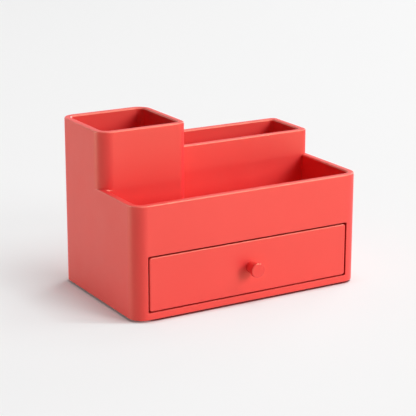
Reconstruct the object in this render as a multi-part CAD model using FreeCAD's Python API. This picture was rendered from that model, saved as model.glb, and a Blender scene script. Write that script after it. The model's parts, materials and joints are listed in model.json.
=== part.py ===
# Desk organizer with a drawer, in millimetres.
# A one-piece moulded housing holds a pen cup, a rear slot and an L-shaped tray above a drawer bay.
# The drawer goes in from below, then the base plate, which carries it, is screwed on.
#
# Frame: +Z up, the desk at z = 0, the drawer front towards -Y, +X to the right of someone facing it.
# The origin is at the middle of the footprint, the knob included.

import FreeCAD, Part
import math
import os

from FreeCAD import Vector

# ---- Driving dimensions ----

# Housing, outside
WIDTH = 200.0
DEPTH = 124.0
TRAY_RIM_Z = 89.8
SLOT_RIM_Z = 110.4
CUP_RIM_Z = 134.3
CUP_WIDTH = 75.0
CUP_DEPTH = 70.4
SLOT_DEPTH = 51.0
CORNER_RADIUS = 11.3
CUP_STEP_RADIUS = 7.5
SLOT_CORNER_RADIUS = 5.0
RIM_ROUNDING = 0.9
LIP_CHAMFER = 0.9
FOOT_EDGE_CHAMFER = 0.4

# Housing, walls and pockets
WALL = 5.5
PARTITION = 5.0
FLOOR = 3.0
POCKET_RADIUS = 3.0
POCKET_FLOOR_CHAMFER = 2.0
DRAFT_DEG = 0.5

# Drawer bay and its front opening
OPENING_SIDE_MARGIN = 11.1
OPENING_BOTTOM_Z = 6.9
OPENING_TOP_Z = 51.0
OPENING_RADIUS = 1.0
LINTEL_LIP = 2.5

# Base plate
FOOT_PROUD = 1.5
PLATE_THICKNESS = 3.0
PLATE_RECESS = 0.5
REBATE_WIDTH = 1.5
PLATE_CLEARANCE = 0.3

# Screws (self-tapping, 2.9 mm, low flat head) and the bosses that the base screws go into
SCREW_RADIUS = 1.45
BASE_SCREW_LENGTH = 12.0
SCREW_HEAD_RADIUS = 2.8
SCREW_HEAD_HEIGHT = 1.6
SCREW_HOLE_CLEARANCE = 0.15
THREAD_CLEARANCE = 0.05
HEAD_CLEARANCE = 0.3
DRIVE_WIDTH = 0.7
DRIVE_SPAN = 3.0
DRIVE_DEPTH = 0.9
BOSS_RADIUS = 3.3
BOSS_EMBED = 0.6
BOSS_END_OFFSET = 12.0

# Rubber feet
FOOT_RADIUS = 6.0
FOOT_INSET = 24.0

# Drawer
GAP_SIDE = 1.2
GAP_TOP = 1.4
GAP_BOTTOM = 1.1
FRONT_THICKNESS = 4.5
FRONT_CORNER_RADIUS = 2.0
FRONT_EDGE_CHAMFER = 0.5
BOX_INSET = 1.4
BOX_HEIGHT = 37.0
BOX_WALL = 2.0
BOX_FLOOR = 2.0
BOX_OUTER_RADIUS = 5.0
BOX_FLOOR_CHAMFER = 1.5
CLOSED_CLEARANCE = 0.5

# Drawer guides and stops
DRAWER_TRAVEL = 80.0
RUNNER_CLEARANCE = 0.3
RUNNER_WIDTH = 3.0
RUNNER_SPACING = 60.0
RUNNER_END_GAP = 4.0
FENCE_CLEARANCE = 0.5
FENCE_THICKNESS = 2.0
FENCE_HEIGHT = 12.0
STOP_TAB_WIDTH = 14.0
STOP_TAB_SPACING = 110.0
STOP_CLEARANCE = 0.3
STOP_RIB_MARGIN = 3.0
STOP_RIB_THICKNESS = 2.5
STOP_RIB_DROP = 4.0
ROOF_CLEARANCE = 0.6

# Knob
KNOB_REACH = 11.0
KNOB_BASE_RADIUS = 4.5
KNOB_FACE_RADIUS = 5.8
KNOB_RIM_THICKNESS = 3.0
KNOB_RIM_CHAMFER = 0.7
KNOB_BORE_DEPTH = 7.5
KNOB_SCREW_LENGTH = 11.0

# ---- Places that follow from them ----

LEFT_X = -WIDTH / 2
RIGHT_X = WIDTH / 2
FRONT_Y = (KNOB_REACH - DEPTH) / 2
BACK_Y = FRONT_Y + DEPTH
MIDDLE_Y = (FRONT_Y + BACK_Y) / 2
OUTLINE = (LEFT_X, FRONT_Y, RIGHT_X, BACK_Y)
OUTLINE_RADII = (CORNER_RADIUS, CORNER_RADIUS, SLOT_CORNER_RADIUS, CORNER_RADIUS)

CUP_RIGHT_X = LEFT_X + CUP_WIDTH
CUP_FRONT_Y = BACK_Y - CUP_DEPTH
SLOT_FRONT_Y = BACK_Y - SLOT_DEPTH

PLATE_BOTTOM_Z = FOOT_PROUD + PLATE_RECESS
PLATE_TOP_Z = PLATE_BOTTOM_Z + PLATE_THICKNESS
ROOF_Z = OPENING_TOP_Z + LINTEL_LIP
POCKET_FLOOR_Z = ROOF_Z + FLOOR

BAY = (LEFT_X + WALL, FRONT_Y + WALL, RIGHT_X - WALL, BACK_Y - WALL)
INNER_CORNER_RADIUS = CORNER_RADIUS - WALL
BAY_RADII = (INNER_CORNER_RADIUS, INNER_CORNER_RADIUS, POCKET_RADIUS, INNER_CORNER_RADIUS)
OPENING_HALF_WIDTH = WIDTH / 2 - OPENING_SIDE_MARGIN

FRONT_HALF_WIDTH = OPENING_HALF_WIDTH - GAP_SIDE
FRONT_BOTTOM_Z = OPENING_BOTTOM_Z + GAP_BOTTOM
FRONT_TOP_Z = OPENING_TOP_Z - GAP_TOP
BOX_HALF_WIDTH = FRONT_HALF_WIDTH - BOX_INSET
BOX_FRONT_Y = FRONT_Y + FRONT_THICKNESS
BOX_BACK_Y = BAY[3] - CLOSED_CLEARANCE
BOX_FLOOR_Z = FRONT_BOTTOM_Z + BOX_FLOOR
BOX_TOP_Z = FRONT_BOTTOM_Z + BOX_HEIGHT
STOP_TAB_TOP_Z = ROOF_Z - ROOF_CLEARANCE
STOP_TAB_FRONT_Y = BOX_BACK_Y - BOX_WALL
STOP_RIB_BACK_Y = STOP_TAB_FRONT_Y - DRAWER_TRAVEL - STOP_CLEARANCE

KNOB_Z = (FRONT_BOTTOM_Z + FRONT_TOP_Z) / 2

ORIGIN = Vector(0, 0, 0)
ACROSS = Vector(1, 0, 0)
INWARDS = Vector(0, 1, 0)
TOUCHING = 1e-3


# ---- Shapes that several pieces share ----

def box_corners(box, inset=0.0):
    """Corners of the box (x0, y0, x1, y1), drawn in by the inset, in order from front left."""
    x0, y0, x1, y1 = box
    left, right = x0 + inset, x1 - inset
    front, back = y0 + inset, y1 - inset
    return [(left, front), (right, front), (right, back), (left, back)]


def rectangle(box, radii, inset=0.0):
    """(x, y, radius) corners of the box, the whole outline drawn in by the inset."""
    places = box_corners(box, inset)
    return [(x, y, radius - inset if radius else 0.0) for (x, y), radius in zip(places, radii)]


def rounded_wire(corners, z):
    """Closed wire at height z round (x, y, radius) corners, each corner an arc of its own radius."""
    starts, mids, ends = [], [], []
    count = len(corners)
    for i, (x, y, radius) in enumerate(corners):
        point = Vector(x, y, z)
        back = (Vector(*corners[i - 1][:2], z) - point).normalize()
        ahead = (Vector(*corners[(i + 1) % count][:2], z) - point).normalize()
        half_angle = back.getAngle(ahead) / 2
        reach = radius / math.tan(half_angle)
        middle = (back + ahead).normalize()
        starts.append(point + back * reach)
        mids.append(point + middle * (radius / math.sin(half_angle) - radius))
        ends.append(point + ahead * reach)
    edges = []
    for i in range(count):
        if corners[i][2] > 0:
            edges.append(Part.Arc(starts[i], mids[i], ends[i]).toShape())
        edges.append(Part.LineSegment(ends[i], starts[(i + 1) % count]).toShape())
    return Part.Wire(edges)


def prism(corners, bottom_z, top_z):
    """Upright solid between two heights."""
    return Part.Face(rounded_wire(corners, bottom_z)).extrude(Vector(0, 0, top_z - bottom_z))


def cylinder(x, y, bottom_z, top_z, radius):
    """Upright cylinder."""
    return Part.makeCylinder(radius, top_z - bottom_z, Vector(x, y, bottom_z))


def slab(x0, y0, z0, x1, y1, z1):
    """Box between two opposite corners."""
    return Part.makeBox(x1 - x0, y1 - y0, z1 - z0, Vector(x0, y0, z0))


def edges_at(shape, z):
    """Edges that lie wholly at height z."""
    return [
        edge for edge in shape.Edges
        if abs(edge.BoundBox.ZMin - z) < TOUCHING and abs(edge.BoundBox.ZMax - z) < TOUCHING
    ]


def edges_along(shape, wire):
    """Edges of the shape that run along the wire."""
    found = []
    for edge in shape.Edges:
        ends_and_middle = edge.discretize(3)
        if all(Part.Vertex(point).distToShape(wire)[0] < TOUCHING for point in ends_and_middle):
            found.append(edge)
    return found


def drafted_pocket(box, radii, bottom_z, top_z):
    """Upright pocket that narrows downwards by the mould's draft, its upright edges rounded."""
    draft = (top_z - bottom_z) * math.tan(math.radians(DRAFT_DEG))
    x0, y0, x1, y1 = box
    pocket = Part.makeWedge(
        x0 + draft, bottom_z, draft - y1, -y1, x0, x1 - draft, top_z, -y0 - draft, -y0, x1)
    pocket.rotate(ORIGIN, ACROSS, 90)
    for (x, y), radius in zip(box_corners(box), radii):
        mouth = Vector(x, y, top_z)
        upright = [
            edge for edge in pocket.Edges
            if edge.BoundBox.ZLength > draft and Part.Vertex(mouth).distToShape(edge)[0] < TOUCHING
        ]
        if radius:
            pocket = pocket.makeFillet(radius, upright)
    return pocket


def four_places(offset_x, offset_y):
    """Name and place of four points, that far from the footprint's middle along X and Y."""
    return {
        "front_left": (-offset_x, MIDDLE_Y - offset_y),
        "front_right": (offset_x, MIDDLE_Y - offset_y),
        "rear_left": (-offset_x, MIDDLE_Y + offset_y),
        "rear_right": (offset_x, MIDDLE_Y + offset_y),
    }


def screw(length):
    """Blunt self-tapping screw with a flat cross-recessed head, seat at z = 0, shank upwards."""
    head_z = -SCREW_HEAD_HEIGHT
    head = cylinder(0, 0, head_z, 0, SCREW_HEAD_RADIUS)
    shank = cylinder(0, 0, 0, length, SCREW_RADIUS)
    half_span, half_width = DRIVE_SPAN / 2, DRIVE_WIDTH / 2
    drive_top = head_z + DRIVE_DEPTH
    drive = slab(-half_span, -half_width, head_z, half_span, half_width, drive_top)
    drive = drive.fuse(slab(-half_width, -half_span, head_z, half_width, half_span, drive_top))
    return head.fuse([shank]).cut(drive)


# ---- Housing ----

def cup_block():
    """The pen cup's outside, from the pockets' floor level up to its rim."""
    box = (LEFT_X, CUP_FRONT_Y, CUP_RIGHT_X, BACK_Y)
    radii = (CORNER_RADIUS, CUP_STEP_RADIUS, CORNER_RADIUS, CORNER_RADIUS)
    block = prism(rectangle(box, radii), ROOF_Z, CUP_RIM_Z)
    return block.makeFillet(RIM_ROUNDING, edges_at(block, CUP_RIM_Z))


def slot_block():
    """The rear slot's outside; its left end is buried in the pen cup."""
    buried_x = CUP_RIGHT_X - CUP_WIDTH / 2
    box = (buried_x, SLOT_FRONT_Y, RIGHT_X, BACK_Y)
    radii = (0.0, SLOT_CORNER_RADIUS, SLOT_CORNER_RADIUS, 0.0)
    block = prism(rectangle(box, radii), ROOF_Z, SLOT_RIM_Z)
    return block.makeFillet(RIM_ROUNDING, edges_at(block, SLOT_RIM_Z))


def tray_pocket():
    """L-shaped hollow of the tray, in front of the pen cup and the slot."""
    front_radii = (INNER_CORNER_RADIUS, INNER_CORNER_RADIUS, 0.0, 0.0)
    pocket = drafted_pocket(BAY, front_radii, POCKET_FLOOR_Z, TRAY_RIM_Z)
    beyond_x, beyond_y = WIDTH, DEPTH
    cup = rectangle((-beyond_x, CUP_FRONT_Y, CUP_RIGHT_X, beyond_y), (0.0, CUP_STEP_RADIUS, 0.0, 0.0))
    slot = rectangle((-beyond_x, SLOT_FRONT_Y, beyond_x, beyond_y), (0.0, 0.0, 0.0, 0.0))
    for corners in (cup, slot):
        pocket = pocket.cut(prism(corners, POCKET_FLOOR_Z - FLOOR, TRAY_RIM_Z + FLOOR))
    return pocket.makeChamfer(POCKET_FLOOR_CHAMFER, edges_at(pocket, POCKET_FLOOR_Z))


def cup_pocket():
    """Hollow of the pen cup."""
    box = (LEFT_X + WALL, CUP_FRONT_Y + PARTITION, CUP_RIGHT_X - PARTITION, BACK_Y - WALL)
    radii = (INNER_CORNER_RADIUS, POCKET_RADIUS, INNER_CORNER_RADIUS, INNER_CORNER_RADIUS)
    pocket = drafted_pocket(box, radii, POCKET_FLOOR_Z, CUP_RIM_Z)
    return pocket.makeChamfer(POCKET_FLOOR_CHAMFER, edges_at(pocket, POCKET_FLOOR_Z))


def slot_pocket():
    """Hollow of the rear slot, from the pen cup's side to the right wall."""
    box = (CUP_RIGHT_X, SLOT_FRONT_Y + PARTITION, RIGHT_X - WALL, BACK_Y - WALL)
    pocket = drafted_pocket(box, (POCKET_RADIUS,) * 4, POCKET_FLOOR_Z, SLOT_RIM_Z)
    return pocket.makeChamfer(POCKET_FLOOR_CHAMFER, edges_at(pocket, POCKET_FLOOR_Z))


def with_pocket(block, pocket, rim_z):
    """The block with the pocket cut out, and the edge between them at the rim chamfered."""
    mouth = edges_at(pocket, rim_z)
    hollow = block.cut(pocket)
    lip = edges_along(hollow, Part.Compound(mouth))
    return hollow.makeChamfer(LIP_CHAMFER, lip)


def base_screw_places():
    """Name and place of each base screw, beside the drawer at the four corners of the bay."""
    offset_x = WIDTH / 2 - WALL - BOSS_RADIUS + BOSS_EMBED
    offset_y = DEPTH / 2 - WALL - BOSS_END_OFFSET
    return four_places(offset_x, offset_y)


def stop_places():
    """Middle X of each stop tab on the drawer and of the rib that catches it."""
    return (-STOP_TAB_SPACING / 2, STOP_TAB_SPACING / 2)


def housing():
    """One moulding: outer walls, three open pockets above and the drawer bay below."""
    body = prism(rectangle(OUTLINE, OUTLINE_RADII), FOOT_PROUD, TRAY_RIM_Z)
    body = body.makeFillet(RIM_ROUNDING, edges_at(body, TRAY_RIM_Z))
    body = body.makeChamfer(FOOT_EDGE_CHAMFER, edges_at(body, FOOT_PROUD))
    body = with_pocket(body, tray_pocket(), TRAY_RIM_Z)
    slot = with_pocket(slot_block(), slot_pocket(), SLOT_RIM_Z)
    cup = with_pocket(cup_block(), cup_pocket(), CUP_RIM_Z)
    form = body.fuse([slot.cut(cup_block())])
    form = form.cut(slot_pocket())
    form = form.cut(cup_pocket()).fuse(cup).removeSplitter()
    form = form.cut([drawer_bay(), plate_rebate(), drawer_opening()])
    form = form.fuse(screw_bosses() + stop_ribs()).removeSplitter()
    return form.cut(boss_bores())


def drawer_bay():
    """Space under the pockets' floors, open at the bottom."""
    return prism(rectangle(BAY, BAY_RADII), 0.0, ROOF_Z)


def plate_rebate():
    """Step round the lower rim that the base plate seats in."""
    return prism(rectangle(BAY, BAY_RADII, -REBATE_WIDTH), 0.0, PLATE_TOP_Z)


def front_panel_prism(half_width, bottom_z, top_z, radius, back_y):
    """Upright rectangle with rounded corners, from the front face back to back_y."""
    corners = rectangle((-half_width, bottom_z, half_width, top_z), (radius,) * 4)
    panel = prism(corners, 0.0, back_y - FRONT_Y)
    panel.rotate(ORIGIN, ACROSS, 90)
    panel.translate(Vector(0, back_y, 0))
    return panel


def drawer_opening():
    """Hole through the front wall for the drawer."""
    inner_y = FRONT_Y + WALL
    return front_panel_prism(OPENING_HALF_WIDTH, OPENING_BOTTOM_Z, OPENING_TOP_Z, OPENING_RADIUS, inner_y)


def screw_bosses():
    """Posts from the roof down to the base plate, grown together with the side walls."""
    top_z = ROOF_Z + FLOOR / 2
    return [cylinder(x, y, PLATE_TOP_Z, top_z, BOSS_RADIUS) for x, y in base_screw_places().values()]


def boss_bores():
    """Holes in the posts, as the screws leave them."""
    radius = SCREW_RADIUS + THREAD_CLEARANCE
    end_z = PLATE_BOTTOM_Z + SCREW_HEAD_HEIGHT + BASE_SCREW_LENGTH + THREAD_CLEARANCE
    return [cylinder(x, y, PLATE_TOP_Z, end_z, radius) for x, y in base_screw_places().values()]


def stop_ribs():
    """Ribs under the roof that catch the drawer's stop tabs when it is pulled out."""
    half_width = STOP_TAB_WIDTH / 2 + STOP_RIB_MARGIN
    front_y = STOP_RIB_BACK_Y - STOP_RIB_THICKNESS
    low_z, high_z = ROOF_Z - STOP_RIB_DROP, ROOF_Z + FLOOR / 2
    return [
        slab(x - half_width, front_y, low_z, x + half_width, STOP_RIB_BACK_Y, high_z)
        for x in stop_places()
    ]


# ---- Base plate, its screws and the feet ----

def foot_places():
    """Name and place of each foot."""
    return four_places(WIDTH / 2 - FOOT_INSET, DEPTH / 2 - FOOT_INSET)


def runners():
    """Three low ribs that the drawer's floor slides on."""
    top_z = FRONT_BOTTOM_Z - RUNNER_CLEARANCE
    front_y, back_y = BAY[1] + RUNNER_END_GAP, BAY[3] - RUNNER_END_GAP
    half_width = RUNNER_WIDTH / 2
    return [
        slab(x - half_width, front_y, PLATE_TOP_Z, x + half_width, back_y, top_z)
        for x in (-RUNNER_SPACING, 0.0, RUNNER_SPACING)
    ]


def fences():
    """Two upright guides beside the drawer, between the screw posts."""
    inner_x = BOX_HALF_WIDTH + FENCE_CLEARANCE
    post_ys = [y for _, y in base_screw_places().values()]
    end_gap = BOSS_RADIUS + FENCE_THICKNESS
    front_y, back_y = min(post_ys) + end_gap, max(post_ys) - end_gap
    top_z = PLATE_TOP_Z + FENCE_HEIGHT
    return [
        slab(x, front_y, PLATE_TOP_Z, x + FENCE_THICKNESS, back_y, top_z)
        for x in (-inner_x - FENCE_THICKNESS, inner_x)
    ]


def base_plate():
    """Bottom cover in the housing's rebate, with runners, guides and screw holes."""
    inset = PLATE_CLEARANCE - REBATE_WIDTH
    plate = prism(rectangle(BAY, BAY_RADII, inset), PLATE_BOTTOM_Z, PLATE_TOP_Z)
    plate = plate.fuse(runners() + fences()).removeSplitter()
    seat_z = PLATE_BOTTOM_Z + SCREW_HEAD_HEIGHT
    cuts = []
    for x, y in base_screw_places().values():
        cuts.append(cylinder(x, y, PLATE_BOTTOM_Z, PLATE_TOP_Z, SCREW_RADIUS + SCREW_HOLE_CLEARANCE))
        cuts.append(cylinder(x, y, PLATE_BOTTOM_Z, seat_z, SCREW_HEAD_RADIUS + HEAD_CLEARANCE))
    return plate.cut(cuts)


def base_screw(x, y):
    """Screw from below, its head flush in the base plate."""
    piece = screw(BASE_SCREW_LENGTH)
    piece.translate(Vector(x, y, PLATE_BOTTOM_Z + SCREW_HEAD_HEIGHT))
    return piece


def foot(x, y):
    """Rubber disc stuck on the base plate."""
    return cylinder(x, y, 0.0, PLATE_BOTTOM_Z, FOOT_RADIUS)


# ---- Drawer and knob ----

def drawer_front():
    """Flush panel in the opening, its outer edges chamfered."""
    panel = front_panel_prism(
        FRONT_HALF_WIDTH, FRONT_BOTTOM_Z, FRONT_TOP_Z, FRONT_CORNER_RADIUS, BOX_FRONT_Y)
    outer = [edge for edge in panel.Edges if edge.BoundBox.YMax < FRONT_Y + TOUCHING]
    return panel.makeChamfer(FRONT_EDGE_CHAMFER, outer)


def drawer_box():
    """Open box behind the panel, with its stop tabs."""
    outside = (-BOX_HALF_WIDTH, BOX_FRONT_Y - BOX_WALL, BOX_HALF_WIDTH, BOX_BACK_Y)
    radii = (0.0, 0.0, BOX_OUTER_RADIUS, BOX_OUTER_RADIUS)
    box = prism(rectangle(outside, radii), FRONT_BOTTOM_Z, BOX_TOP_Z)
    return box.fuse(stop_tabs())


def drawer_pocket():
    """Hollow of the drawer."""
    x = BOX_HALF_WIDTH - BOX_WALL
    inside = (-x, BOX_FRONT_Y, x, BOX_BACK_Y - BOX_WALL)
    radius = BOX_OUTER_RADIUS - BOX_WALL
    pocket = drafted_pocket(inside, (radius,) * 4, BOX_FLOOR_Z, BOX_TOP_Z)
    return pocket.makeChamfer(BOX_FLOOR_CHAMFER, edges_at(pocket, BOX_FLOOR_Z))


def stop_tabs():
    """Tabs on the drawer's rear wall that catch behind the stop ribs."""
    half_width = STOP_TAB_WIDTH / 2
    return [
        slab(x - half_width, STOP_TAB_FRONT_Y, BOX_FLOOR_Z, x + half_width, BOX_BACK_Y, STOP_TAB_TOP_Z)
        for x in stop_places()
    ]


def drawer():
    """One moulding: front panel, box and stop tabs, with the hole for the knob's screw."""
    shape = drawer_box().cut(drawer_pocket()).fuse(drawer_front()).removeSplitter()
    front = Vector(0, FRONT_Y, KNOB_Z)
    hole = Part.makeCylinder(SCREW_RADIUS + SCREW_HOLE_CLEARANCE, FRONT_THICKNESS, front, INWARDS)
    seat = Vector(0, BOX_FRONT_Y, KNOB_Z)
    head_seat = Part.makeCylinder(SCREW_HEAD_RADIUS + HEAD_CLEARANCE, BOX_WALL, seat, INWARDS)
    return shape.cut([hole, head_seat])


def knob():
    """Turned knob: a slim neck that widens to a flat face."""
    neck_end = KNOB_REACH - KNOB_RIM_THICKNESS
    neck = Part.makeCone(KNOB_BASE_RADIUS, KNOB_FACE_RADIUS, neck_end)
    rim = cylinder(0, 0, neck_end, KNOB_REACH, KNOB_FACE_RADIUS)
    rim = rim.makeChamfer(KNOB_RIM_CHAMFER, edges_at(rim, KNOB_REACH))
    bore = cylinder(0, 0, 0, KNOB_BORE_DEPTH, SCREW_RADIUS + THREAD_CLEARANCE)
    return towards_front(neck.fuse([rim]).cut(bore), FRONT_Y)


def towards_front(shape, y):
    """Turns a shape made along +Z to point at -Y, its z = 0 at the given y, on the knob's axis."""
    shape.rotate(ORIGIN, ACROSS, 90)
    shape.translate(Vector(0, y, KNOB_Z))
    return shape


def knob_screw():
    """Screw from inside the drawer, through the panel into the knob."""
    return towards_front(screw(KNOB_SCREW_LENGTH), BOX_FRONT_Y)


# ---- Output ----

def pieces():
    """Every piece by its node's name."""
    made = {
        "housing": housing(),
        "base_plate": base_plate(),
        "drawer": drawer(),
        "knob": knob(),
        "knob_screw": knob_screw(),
    }
    for place, (x, y) in base_screw_places().items():
        made[f"base_screw_{place}"] = base_screw(x, y)
    for place, (x, y) in foot_places().items():
        made[f"foot_{place}"] = foot(x, y)
    return made


os.makedirs("parts", exist_ok=True)
for name, shape in pieces().items():
    if not shape.isValid() or len(shape.Solids) != 1:
        raise ValueError(f"{name} isn't one valid solid")
    shape.Solids[0].exportStep(f"parts/{name}.step")
    print(f"{name}: {shape.Volume / 1000:.2f} cm3")
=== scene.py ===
"""Desk organizer with a drawer.

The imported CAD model, dressed in moulded coral plastic, in a plain studio.
"""

import json
import math

import bmesh
import bpy
from mathutils import Euler, Matrix, Vector


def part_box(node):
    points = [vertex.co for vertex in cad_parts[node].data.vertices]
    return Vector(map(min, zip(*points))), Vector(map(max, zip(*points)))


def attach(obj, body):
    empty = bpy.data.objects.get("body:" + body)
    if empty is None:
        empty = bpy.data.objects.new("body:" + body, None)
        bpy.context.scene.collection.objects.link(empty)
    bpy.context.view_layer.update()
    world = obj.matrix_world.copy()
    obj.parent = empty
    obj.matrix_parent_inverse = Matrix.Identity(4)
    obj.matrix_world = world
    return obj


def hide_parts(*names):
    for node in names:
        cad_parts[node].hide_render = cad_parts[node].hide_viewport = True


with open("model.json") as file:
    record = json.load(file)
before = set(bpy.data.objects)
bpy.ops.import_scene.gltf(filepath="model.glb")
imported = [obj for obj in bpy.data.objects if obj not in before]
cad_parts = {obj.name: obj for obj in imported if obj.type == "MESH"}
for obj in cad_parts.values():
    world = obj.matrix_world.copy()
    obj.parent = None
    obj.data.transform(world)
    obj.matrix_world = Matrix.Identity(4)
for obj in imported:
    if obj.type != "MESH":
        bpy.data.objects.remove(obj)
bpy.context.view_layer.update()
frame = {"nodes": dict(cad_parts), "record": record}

MM = 0.001

# ---- Plastic; all colours are linear ----

CORAL = (0.820, 0.040, 0.048)
CORAL_DEEP = (0.795, 0.036, 0.043)
# Paler colour of worn edges, also a painted highlight on the rounded rims
CORAL_WORN_AND_HIGHLIGHT = (0.880, 0.160, 0.140)
# Painted shade on the walls of the gap round the drawer's front
CORAL_GAP_SHADE = (0.480, 0.001, 0.004)
PLASTIC_IOR = 1.5
SHEEN = 0.72
SHEEN_TINT = (1.0, 0.95, 0.55)

# Least and greatest roughness, and how much less of it the rims have
BODY_GLOSS = (0.42, 0.49)
KNOB_GLOSS = (0.20, 0.25)
RIM_POLISH = 0.14

# Rounding of every edge, how far its wear and painted highlight reach, and how strong that is
EDGE_ROUNDING = 0.35 * MM
EDGE_WEAR_AND_HIGHLIGHT = 0.8 * MM
SCUFFS = (0.35, 0.85)

# Rise of a surface's normal, 0 on upright faces and 1 on level ones, over which a rim sets in
# and ends
RIM_SETS_IN = (0.10, 0.35)
RIM_ENDS = (0.90, 0.99)

# Painted shade in the gap round the drawer's front: how far its walls lie beyond the front's
# outline, how deep behind its face they begin and end, how far they look for each other, and how
# open the view is where the painted shade is whole and where it is gone
GAP_REACH = 1.7 * MM
GAP_REACH_BELOW = 0.425 * MM
GAP_START = (0.3 * MM, 1.0 * MM)
GAP_END = 4.2 * MM
GAP_SIGHT = 2.4 * MM
GAP_OPENNESS = (0.35, 0.55)

# ---- Steel and rubber ----

ZINC_BRIGHT = (0.56, 0.56, 0.57)
ZINC_CLOUDED = (0.44, 0.44, 0.46)
RUBBER = (0.022, 0.022, 0.023)
RUBBER_DUST = (0.060, 0.056, 0.054)

# Range of a noise texture that is spread over a material's own range
NOISE_RANGE = (0.3, 0.7)
DUST_RANGE = (0.5, 0.8)

# ---- Knob ----

KNOB_NECK_SHARE = 0.77
KNOB_FLARE = 1.4
KNOB_FLARE_STEPS = 10
KNOB_RIM_DEPTH = 2.4 * MM
KNOB_ROUNDING = 0.8 * MM
KNOB_ROUNDING_STEPS = 6
KNOB_SIDES = 72

# ---- Camera: place in metres, turns in degrees, lens and sensor in millimetres ----

CAMERA_PLACE = Vector((-0.577194, -0.975349, 0.389112))
CAMERA_YAW = 30.400
CAMERA_PITCH = 16.126
CAMERA_ROLL = 0.062
CAMERA_LENS = 129.21
CAMERA_SENSOR = 36.0

# ---- Studio ----

# Softboxes: azimuth (0 in front, 90 at the right) and elevation in degrees, power in watts,
# height in metres
LIGHTS = {
    "front": (30.0, 20.0, 93.5, 1.5),
    "front_strip": (35.0, 0.0, 16.0, 0.25),
    "right": (60.0, 38.0, 36.0, 1.5),
    "right_high": (60.0, 58.0, 21.0, 1.5),
    "right_side": (90.0, 38.0, 10.0, 1.5),
    "right_back": (120.0, 20.0, 41.0, 1.5),
    "right_back_high": (120.0, 58.0, 25.5, 1.5),
    "back": (180.0, 58.0, 6.0, 1.5),
    "left_strip": (240.0, 0.0, 78.0, 0.25),
    "top": (0.0, 90.0, 40.5, 1.5),
}
LIGHT_DISTANCE = 4.0
LIGHT_WIDTH = 1.5
LIGHT_TARGET = Vector((0.0, 0.0, 0.06))

# How bright the world is as a light, and how bright the studio is to look at
AMBIENT = 0.02
STUDIO_WHITE = 0.925

FLOOR_COLOUR = (0.905, 0.905, 0.905)
# Painted shadow on the floor under the housing, reddened as by bounce light
FLOOR_PAINTED_SHADOW = (0.400, 0.110, 0.110)
FLOOR_RADIUS = 6.0
FLOOR_SEGMENTS = 96
FLOOR_VEIL = 0.66
HORIZON_FADE = (1.8, 3.6)

# Where the floor keeps its full shadow, in metres: edges of the patch, how far the veil takes to
# set in beyond each, and how much the patch slants back for each metre to the left of it
SHADOW_X = (-0.088, 0.101)
SHADOW_X_FADE = (0.066, 0.010)
SHADOW_Y = (-0.0570, 0.040)
SHADOW_Y_FADE = (0.005, 0.160)
SHADOW_SLANT = 0.6

# The painted shadow, reddened as by bounce light, on the floor under the housing: its rounded
# corners, its soft edge, and how far it stays in from the left side, where light gets under
FOOTPRINT_RADIUS = 11.3 * MM
FOOTPRINT_FADE = 1.5 * MM
FOOTPRINT_LEFT_INSET = 8.0 * MM


# ---- Helpers ----

def link_object(name, data):
    """New object in the scene, made from its data."""
    thing = bpy.data.objects.new(name, data)
    bpy.context.scene.collection.objects.link(thing)
    return thing


def new_material(name):
    """Material with nodes: itself, its node tree and its Principled shader."""
    material = bpy.data.materials.new(name)
    material.use_nodes = True
    return material, material.node_tree, material.node_tree.nodes["Principled BSDF"]


def add(tree, kind, **values):
    """New node of a kind; keywords set its attributes."""
    node = tree.nodes.new(kind)
    for key, value in values.items():
        setattr(node, key, value)
    return node


def noise(tree, place, scale, detail=2.0, roughness=0.5):
    """Noise texture in object space; scale is in cycles per metre."""
    node = add(tree, "ShaderNodeTexNoise")
    node.inputs["Scale"].default_value = scale
    node.inputs["Detail"].default_value = detail
    node.inputs["Roughness"].default_value = roughness
    tree.links.new(place.outputs["Object"], node.inputs["Vector"])
    return node.outputs["Fac"]


def axes_of(tree, vector):
    """Node whose outputs X, Y and Z are those of a vector socket."""
    node = add(tree, "ShaderNodeSeparateXYZ")
    tree.links.new(vector, node.inputs["Vector"])
    return node


def math_node(tree, operation, *values):
    """Result of a maths operation on values, each a number or a socket."""
    node = add(tree, "ShaderNodeMath", operation=operation)
    for socket, value in zip(node.inputs, values):
        if isinstance(value, bpy.types.NodeSocket):
            tree.links.new(value, socket)
        else:
            socket.default_value = value
    return node.outputs["Value"]


def hypotenuse(tree, first, second):
    """Distance that two offsets at right angles add up to."""
    squares = [math_node(tree, "MULTIPLY", offset, offset) for offset in (first, second)]
    return math_node(tree, "SQRT", math_node(tree, "ADD", *squares))


def spread(tree, value, low, high, source=NOISE_RANGE):
    """The value, stretched from its source range to low..high and kept within it."""
    node = add(tree, "ShaderNodeMapRange")
    node.inputs["From Min"].default_value, node.inputs["From Max"].default_value = source
    node.inputs["To Min"].default_value = low
    node.inputs["To Max"].default_value = high
    tree.links.new(value, node.inputs["Value"])
    return node.outputs["Result"]


def blend_colours(tree, factor, first, second):
    """Mix of two colours, each a plain colour or a socket."""
    node = add(tree, "ShaderNodeMix", data_type="RGBA")
    tree.links.new(factor, node.inputs["Factor"])
    for key, colour in (("A", first), ("B", second)):
        socket = [s for s in node.inputs if s.name == key and s.type == "RGBA"][0]
        if isinstance(colour, bpy.types.NodeSocket):
            tree.links.new(colour, socket)
        else:
            socket.default_value = (*colour, 1.0)
    return [s for s in node.outputs if s.type == "RGBA"][0]


def bump(tree, height, strength, distance, normal=None):
    """Bump from a height, on top of another normal."""
    node = add(tree, "ShaderNodeBump")
    node.inputs["Strength"].default_value = strength
    node.inputs["Distance"].default_value = distance
    tree.links.new(height, node.inputs["Height"])
    if normal is not None:
        tree.links.new(normal, node.inputs["Normal"])
    return node.outputs["Normal"]


# ---- Where on the object a point is ----

def rounded_normal(tree, radius):
    """Normal that rounds every edge by a radius."""
    bevel = add(tree, "ShaderNodeBevel", samples=6)
    bevel.inputs["Radius"].default_value = radius
    return bevel.outputs["Normal"]


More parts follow.
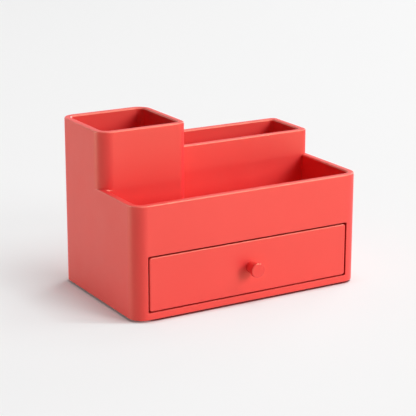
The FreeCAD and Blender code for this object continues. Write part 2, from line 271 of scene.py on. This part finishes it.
def edge_share(tree, radius):
    """How near a point is to an edge: 0 a radius away, 1 on the edge."""
    geometry = add(tree, "ShaderNodeNewGeometry")
    dot = add(tree, "ShaderNodeVectorMath", operation="DOT_PRODUCT")
    tree.links.new(rounded_normal(tree, radius), dot.inputs[0])
    tree.links.new(geometry.outputs["True Normal"], dot.inputs[1])
    return spread(tree, dot.outputs["Value"], 1.0, 0.0, (0.75, 0.995))


def rim_share(tree):
    """1 on the rounded rims, which lean between upright and level; 0 on upright and level faces."""
    geometry = add(tree, "ShaderNodeNewGeometry")
    normal = axes_of(tree, geometry.outputs["Normal"])
    rise = math_node(tree, "ABSOLUTE", normal.outputs["Z"])
    past_upright = spread(tree, rise, 0.0, 1.0, RIM_SETS_IN)
    before_level = spread(tree, rise, 1.0, 0.0, RIM_ENDS)
    return math_node(tree, "MULTIPLY", past_upright, before_level)


def gap_shade_share(tree, place):
    """Where shade is painted: 1 on the walls of the gap beside and above the drawer's front while
    it is shut, else 0.
    """
    low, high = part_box("drawer")
    axes = axes_of(tree, place.outputs["Object"])
    x, y, z = (axes.outputs[name] for name in "XYZ")
    begins, is_whole = (low.y + depth for depth in GAP_START)
    limits = (
        math_node(tree, "LESS_THAN", math_node(tree, "ABSOLUTE", x), high.x + GAP_REACH),
        math_node(tree, "GREATER_THAN", z, low.z - GAP_REACH_BELOW),
        math_node(tree, "LESS_THAN", z, high.z + GAP_REACH),
        spread(tree, y, 0.0, 1.0, (begins, is_whole)),
        math_node(tree, "LESS_THAN", y, low.y + GAP_END),
    )
    surroundings = add(tree, "ShaderNodeAmbientOcclusion", samples=8)
    surroundings.inputs["Distance"].default_value = GAP_SIGHT
    share = spread(tree, surroundings.outputs["AO"], 1.0, 0.0, GAP_OPENNESS)
    for limit in limits:
        share = math_node(tree, "MULTIPLY", share, limit)
    return share


# ---- Materials ----

def coral_plastic(name, gloss, rounded_rims=True):
    """Satin moulded plastic: fine spark-eroded grain, faint mottling, worn edges, glossier rims
    painted paler as a highlight, and painted shade in the gap round the drawer's front.
    """
    material, tree, shader = new_material(name)
    place = add(tree, "ShaderNodeTexCoord")

    wear_and_highlight = edge_share(tree, EDGE_WEAR_AND_HIGHLIGHT)
    satin = spread(tree, noise(tree, place, scale=45.0, detail=3.0), *gloss)
    if rounded_rims:
        rims = rim_share(tree)
        wear_and_highlight = math_node(tree, "MAXIMUM", wear_and_highlight, rims)
        satin = math_node(tree, "SUBTRACT", satin, math_node(tree, "MULTIPLY", rims, RIM_POLISH))
    tree.links.new(satin, shader.inputs["Roughness"])

    mottle = spread(tree, noise(tree, place, scale=14.0, detail=3.0), 0.0, 1.0)
    scuffs = spread(tree, noise(tree, place, scale=160.0, detail=4.0, roughness=0.6), *SCUFFS)
    colour = blend_colours(tree, mottle, CORAL, CORAL_DEEP)
    # Paler where edges wear and, as a painted highlight, on the rounded rims; broken up by scuffs
    colour = blend_colours(tree, math_node(tree, "MULTIPLY", wear_and_highlight, scuffs), colour, CORAL_WORN_AND_HIGHLIGHT)
    # Painted shade on the walls of the gap round the shut drawer's front
    colour = blend_colours(tree, gap_shade_share(tree, place), colour, CORAL_GAP_SHADE)
    tree.links.new(colour, shader.inputs["Base Color"])

    flow = noise(tree, place, scale=30.0)
    grain = noise(tree, place, scale=2300.0)
    normal = bump(tree, flow, 0.10, 0.25 * MM, rounded_normal(tree, EDGE_ROUNDING))
    normal = bump(tree, grain, 0.12, 0.04 * MM, normal)
    tree.links.new(normal, shader.inputs["Normal"])

    shader.inputs["IOR"].default_value = PLASTIC_IOR
    shader.inputs["Specular IOR Level"].default_value = SHEEN
    shader.inputs["Specular Tint"].default_value = (*SHEEN_TINT, 1.0)
    return material


def zinc_steel():
    """Zinc-plated steel: metallic with faint turning marks and cloudy roughness."""
    material, tree, shader = new_material("zinc_steel")
    place = add(tree, "ShaderNodeTexCoord")
    clouds = spread(tree, noise(tree, place, scale=700.0, detail=3.0), 0.0, 1.0)
    colour = blend_colours(tree, clouds, ZINC_BRIGHT, ZINC_CLOUDED)
    tree.links.new(colour, shader.inputs["Base Color"])
    satin = spread(tree, noise(tree, place, scale=1500.0), 0.26, 0.42)
    tree.links.new(satin, shader.inputs["Roughness"])
    marks = noise(tree, place, scale=4200.0, detail=1.0)
    tree.links.new(bump(tree, marks, 0.15, 0.02 * MM), shader.inputs["Normal"])
    shader.inputs["Metallic"].default_value = 1.0
    return material


def black_rubber():
    """Matt black rubber with a fine pebbled skin and some dust."""
    material, tree, shader = new_material("black_rubber")
    place = add(tree, "ShaderNodeTexCoord")
    dust = spread(tree, noise(tree, place, scale=260.0, detail=4.0), 0.0, 1.0, DUST_RANGE)
    tree.links.new(blend_colours(tree, dust, RUBBER, RUBBER_DUST), shader.inputs["Base Color"])
    matt = spread(tree, noise(tree, place, scale=900.0), 0.68, 0.86)
    tree.links.new(matt, shader.inputs["Roughness"])
    pebbles = noise(tree, place, scale=2600.0)
    tree.links.new(bump(tree, pebbles, 0.4, 0.05 * MM), shader.inputs["Normal"])
    return material


def dress_nodes():
    """Gives every CAD node the finish of its material slot."""
    finishes = {
        "coral_shell": coral_plastic("coral_plastic", BODY_GLOSS),
        "screw_steel": zinc_steel(),
        "foot_rubber": black_rubber(),
    }
    slots = {part["node"]: part["material_slot"] for part in frame["record"]["subparts"]}
    for name, node in frame["nodes"].items():
        for slot in node.material_slots:
            slot.material = finishes[slots[name]]


# ---- The turned knob ----

def knob_profile(neck_radius, face_radius, reach):
    """(distance from the front panel, radius) along the knob: flared neck, then rounded rim."""
    points = []
    for i in range(KNOB_FLARE_STEPS + 1):
        share = i / KNOB_FLARE_STEPS
        radius = neck_radius + (face_radius - neck_radius) * share ** KNOB_FLARE
        points.append(((reach - KNOB_RIM_DEPTH) * share, radius))
    for i in range(KNOB_ROUNDING_STEPS + 1):
        angle = math.radians(90 * i / KNOB_ROUNDING_STEPS)
        points.append((
            reach - KNOB_ROUNDING + KNOB_ROUNDING * math.sin(angle),
            face_radius - KNOB_ROUNDING + KNOB_ROUNDING * math.cos(angle),
        ))
    return points


def make_knob():
    """Lathes the knob round its axis, inside the CAD knob's box."""
    low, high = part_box("knob")
    centre = (low + high) / 2
    back_y, face_y = high.y, low.y
    face_radius = (high.x - low.x) / 2
    outline = knob_profile(KNOB_NECK_SHARE * face_radius, face_radius, back_y - face_y)
    mesh = bmesh.new()
    rings = []
    for distance, radius in outline:
        ring = []
        for i in range(KNOB_SIDES):
            angle = 2 * math.pi * i / KNOB_SIDES
            ring.append(mesh.verts.new((
                centre.x + radius * math.cos(angle),
                back_y - distance,
                centre.z + radius * math.sin(angle),
            )))
        rings.append(ring)
    for near, far in zip(rings, rings[1:]):
        for i in range(KNOB_SIDES):
            j = (i + 1) % KNOB_SIDES
            mesh.faces.new((near[i], near[j], far[j], far[i]))
    mesh.faces.new(rings[-1])
    bmesh.ops.recalc_face_normals(mesh, faces=mesh.faces)
    data = bpy.data.meshes.new("knob_turned")
    mesh.to_mesh(data)
    mesh.free()
    for polygon in data.polygons:
        polygon.use_smooth = len(polygon.vertices) == 4
    data.materials.append(coral_plastic("coral_knob", KNOB_GLOSS, rounded_rims=False))
    return link_object("knob_turned", data)


# ---- Studio ----

def seen_directly(tree):
    """1 for the rays that show the studio: the camera's, and those through gloss and glass."""
    path = add(tree, "ShaderNodeLightPath")
    seen = path.outputs["Is Camera Ray"]
    for kind in ("Is Glossy Ray", "Is Transmission Ray"):
        seen = math_node(tree, "MAXIMUM", seen, path.outputs[kind])
    return seen


def outside(tree, value, edges, fades):
    """0 between the two edges, rising to 1 over each edge's fade."""
    low = spread(tree, value, 1.0, 0.0, (edges[0] - fades[0], edges[0]))
    high = spread(tree, value, 0.0, 1.0, (edges[1], edges[1] + fades[1]))
    return math_node(tree, "ADD", low, high)


def away_from_object(tree, x, y):
    """0 round the object's foot and in its cast shadow, and 1 further off."""
    left = math_node(tree, "MINIMUM", math_node(tree, "SUBTRACT", x, SHADOW_X[0]), 0.0)
    slanted = math_node(tree, "ADD", y, math_node(tree, "MULTIPLY", left, SHADOW_SLANT))
    across = outside(tree, x, SHADOW_X, SHADOW_X_FADE)
    along = outside(tree, slanted, SHADOW_Y, SHADOW_Y_FADE)
    return math_node(tree, "MINIMUM", hypotenuse(tree, across, along), 1.0)


def away_from_painted_shadow(tree, x, y):
    """0 on the painted shadow on the floor under the housing, with its rounded corners, and 1
    outside it.
    """
    low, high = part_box("housing")
    spans = ((x, low.x + FOOTPRINT_LEFT_INSET, high.x), (y, low.y, high.y))
    reach = []
    for value, first, last in spans:
        offset = math_node(tree, "SUBTRACT", value, (first + last) / 2)
        straight = (last - first) / 2 - FOOTPRINT_RADIUS
        past = math_node(tree, "SUBTRACT", math_node(tree, "ABSOLUTE", offset), straight)
        reach.append(math_node(tree, "MAXIMUM", past, 0.0))
    edge = (FOOTPRINT_RADIUS - FOOTPRINT_FADE, FOOTPRINT_RADIUS)
    return spread(tree, hypotenuse(tree, *reach), 0.0, 1.0, edge)


def veil_floor(tree, x, y, closure, output):
    """Shows the surface part veiled by plain white, painted light that lifts the floor's shadow
    away from the object but lights nothing.
    """
    veil = add(tree, "ShaderNodeEmission")
    veil.inputs["Color"].default_value = (1.0, 1.0, 1.0, 1.0)
    veil.inputs["Strength"].default_value = STUDIO_WHITE
    # Painted light: the veil lifts the floor's real shadow outside the patch round the object's
    # foot
    near = math_node(tree, "MULTIPLY", away_from_object(tree, x, y), FLOOR_VEIL)
    far = spread(tree, hypotenuse(tree, x, y), 0.0, 1.0, HORIZON_FADE)
    amount = math_node(tree, "MAXIMUM", near, far)
    share = math_node(tree, "MULTIPLY", seen_directly(tree), amount)
    mix = add(tree, "ShaderNodeMixShader")
    tree.links.new(share, mix.inputs["Fac"])
    tree.links.new(closure, mix.inputs[1])
    tree.links.new(veil.outputs["Emission"], mix.inputs[2])
    tree.links.new(mix.outputs["Shader"], output)


def studio_floor():
    """Plain pale surface, with a painted reddish shadow under the housing and painted white further
    off.
    """
    material, tree, _ = new_material("studio_floor")
    tree.nodes.clear()
    place = add(tree, "ShaderNodeTexCoord")
    axes = axes_of(tree, place.outputs["Object"])
    x, y = axes.outputs["X"], axes.outputs["Y"]
    diffuse = add(tree, "ShaderNodeBsdfDiffuse")
    # Painted shadow, reddened as by bounce light, on the floor under the housing
    colour = blend_colours(tree, away_from_painted_shadow(tree, x, y), FLOOR_PAINTED_SHADOW, FLOOR_COLOUR)
    tree.links.new(colour, diffuse.inputs["Color"])
    output = add(tree, "ShaderNodeOutputMaterial")
    veil_floor(tree, x, y, diffuse.outputs["BSDF"], output.inputs["Surface"])
    return material


def make_floor():
    """Round floor, wide enough to fill every view."""
    mesh = bmesh.new()
    bmesh.ops.create_circle(mesh, cap_ends=True, radius=FLOOR_RADIUS, segments=FLOOR_SEGMENTS)
    data = bpy.data.meshes.new("floor")
    mesh.to_mesh(data)
    mesh.free()
    data.materials.append(studio_floor())
    return link_object("floor", data)


def make_world():
    """Plain white where the floor ends, also in reflections, and dim as a light."""
    world = bpy.data.worlds.new("studio")
    bpy.context.scene.world = world
    world.use_nodes = True
    tree = world.node_tree
    background = tree.nodes["Background"]
    level = spread(tree, seen_directly(tree), AMBIENT, STUDIO_WHITE, (0.0, 1.0))
    tree.links.new(level, background.inputs["Strength"])
    background.inputs["Color"].default_value = (1.0, 1.0, 1.0, 1.0)


def make_lights():
    """Softboxes round the object, each aimed at its middle."""
    for name, (azimuth, elevation, power, height) in LIGHTS.items():
        data = bpy.data.lights.new(name, "AREA")
        data.shape = "RECTANGLE"
        data.size = LIGHT_WIDTH
        data.size_y = height
        data.energy = power
        lamp = link_object(name, data)
        turn, rise = math.radians(azimuth), math.radians(elevation)
        direction = Vector((
            math.sin(turn) * math.cos(rise),
            -math.cos(turn) * math.cos(rise),
            math.sin(rise),
        ))
        lamp.location = LIGHT_TARGET + direction * LIGHT_DISTANCE
        lamp.rotation_euler = (-direction).to_track_quat("-Z", "Y").to_euler()
        lamp.visible_camera = False


def make_camera():
    """Camera in front of the object, to its left and above it."""
    data = bpy.data.cameras.new("camera")
    data.lens = CAMERA_LENS
    data.sensor_width = CAMERA_SENSOR
    camera = link_object("camera", data)
    heading = Euler((math.radians(90 - CAMERA_PITCH), 0.0, math.radians(-CAMERA_YAW)))
    roll = Matrix.Rotation(math.radians(CAMERA_ROLL), 4, "Z")
    place = Matrix.Translation(CAMERA_PLACE)
    camera.matrix_world = place @ heading.to_matrix().to_4x4() @ roll
    bpy.context.scene.camera = camera


dress_nodes()
knob = make_knob()
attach(knob, "drawer")
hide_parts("knob")
floor = make_floor()
make_world()
make_lights()
make_camera()
bpy.context.scene.view_settings.view_transform = "Standard"
